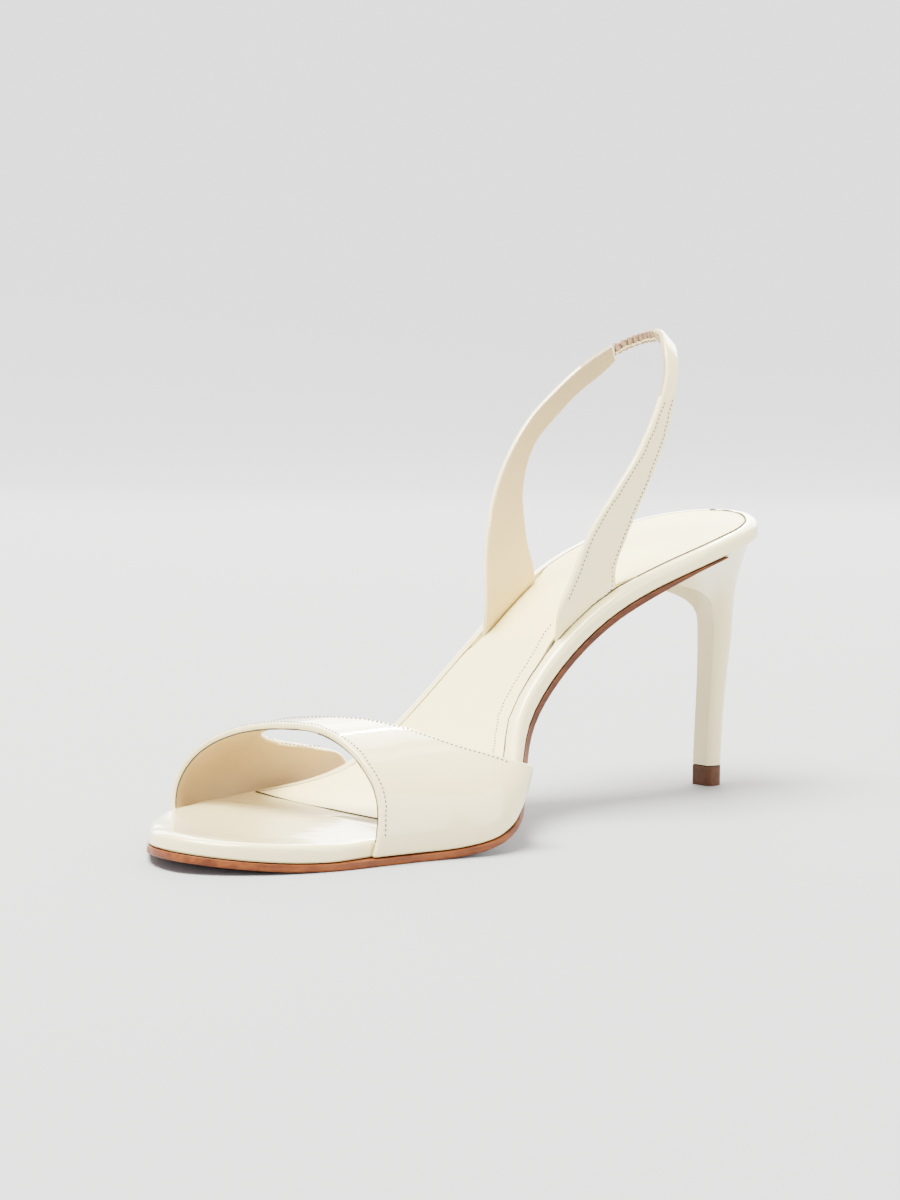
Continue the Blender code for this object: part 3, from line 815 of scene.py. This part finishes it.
make_elastic()
make_vamp_stitches()
make_elastic_lips()
make_foot_shadows()
make_vamp_edge_shadow()
make_sock_seam()
make_strap_stitches()
make_sock_stitches()


# Floor, light and camera

def camera_axes():
    azimuth, elevation = CAMERA_AZIMUTH, CAMERA_ELEVATION
    back = Vector((math.sin(azimuth) * math.cos(elevation), -math.cos(azimuth) * math.cos(elevation),
                   math.sin(elevation)))
    right = Vector((math.cos(azimuth), math.sin(azimuth), 0.0))
    return right, back.cross(right), back


def make_backdrop():
    """Round floor that curves up into a low wall all round the shoe."""
    profile = [(FLOOR_RADIUS * step / FLOOR_RINGS, 0.0) for step in range(1, FLOOR_RINGS + 1)]
    for step in range(1, BEND_RINGS + 1):
        angle = math.radians(90 * step / BEND_RINGS)
        profile.append((FLOOR_RADIUS + WALL_BEND * math.sin(angle), WALL_BEND * (1 - math.cos(angle))))
    profile.append((FLOOR_RADIUS + WALL_BEND, WALL_TOP))
    vertices = [(0.0, 0.0, 0.0)]
    for radius, height in profile:
        for step in range(AROUND):
            angle = 2 * math.pi * step / AROUND
            vertices.append((radius * math.cos(angle), radius * math.sin(angle), height))
    faces = [(0, 1 + step, 1 + (step + 1) % AROUND) for step in range(AROUND)]
    for ring in range(len(profile) - 1):
        low, high = 1 + ring * AROUND, 1 + (ring + 1) * AROUND
        for step in range(AROUND):
            after = (step + 1) % AROUND
            faces.append((low + step, high + step, high + after, low + after))
    mesh = bpy.data.meshes.new("backdrop")
    mesh.from_pydata(vertices, [], faces)
    mesh.shade_smooth()
    mesh.materials.append(backdrop_material())
    backdrop = bpy.data.objects.new("backdrop", mesh)
    bpy.context.scene.collection.objects.link(backdrop)


def add_softbox(name, place, aim, width, height, power):
    light = bpy.data.lights.new(name, "AREA")
    light.shape = "RECTANGLE"
    light.size = width
    light.size_y = height
    light.energy = power
    light.color = DAYLIGHT
    lamp = bpy.data.objects.new(name, light)
    lamp.location = place
    lamp.rotation_euler = (aim - place).to_track_quat("-Z", "Y").to_euler()
    bpy.context.scene.collection.objects.link(lamp)
    return lamp


def make_lights():
    right, _, back = camera_axes()
    near = Vector((back.x, back.y, 0.0)).normalized()
    up = Vector((0.0, 0.0, 1.0))
    shoe = Vector((0.0, 0.0, 0.05))

    def from_shoe(to_right, to_camera, above):
        return shoe + right * to_right + near * to_camera + up * above

    add_softbox("top_light", from_shoe(-0.35, 0.15, 1.35), shoe, 0.95, 0.75, 125.0)
    add_softbox("left_light", from_shoe(-1.1, 0.5, 0.7), shoe, 0.8, 1.2, 4.0)
    add_softbox("right_light", from_shoe(1.2, 0.6, 0.5), shoe, 0.8, 1.1, 18.0)
    add_softbox("back_light", from_shoe(0.35, -1.25, 0.85), shoe, 1.5, 0.9, 40.0)
    add_softbox("wall_light", from_shoe(0.0, -1.2, 2.2), from_shoe(0.0, -2.3, 0.7), 3.0, 0.8, 50.0)
    low_light = add_softbox("low_light", from_shoe(0.0, -1.1, 0.30), shoe, 1.7, 0.45, 19.0)
    low_light.visible_camera = False
    glint_place = VAMP_TOP + (right * 0.10 - near * 0.86 + up * 0.50) * 1.2
    glint = add_softbox("glint_light", glint_place, VAMP_TOP, 0.02, 0.38, 3.0)
    glint.visible_camera = False
    world = bpy.data.worlds.new("studio")
    world.use_nodes = True
    world.node_tree.nodes["Background"].inputs["Color"].default_value = (*DAYLIGHT, 1.0)
    world.node_tree.nodes["Background"].inputs["Strength"].default_value = WORLD_STRENGTH
    bpy.context.scene.world = world


def make_camera():
    right, up, back = camera_axes()
    camera = bpy.data.cameras.new("camera")
    camera.sensor_fit = "VERTICAL"
    camera.sensor_height = SENSOR_HEIGHT
    camera.lens = SENSOR_HEIGHT * FOCAL_PIXELS / IMAGE_HEIGHT
    camera.shift_x = (IMAGE_WIDTH / 2 - TARGET_PIXEL[0]) / IMAGE_HEIGHT
    camera.shift_y = (TARGET_PIXEL[1] - IMAGE_HEIGHT / 2) / IMAGE_HEIGHT
    camera.clip_start = 0.01
    holder = bpy.data.objects.new("camera", camera)
    turn = Matrix((right, up, back)).transposed().to_4x4() @ Matrix.Rotation(CAMERA_ROLL, 4, "Z")
    holder.matrix_world = Matrix.Translation(CAMERA_TARGET + back * CAMERA_DISTANCE) @ turn
    bpy.context.scene.collection.objects.link(holder)
    bpy.context.scene.camera = holder


make_backdrop()
make_lights()
make_camera()
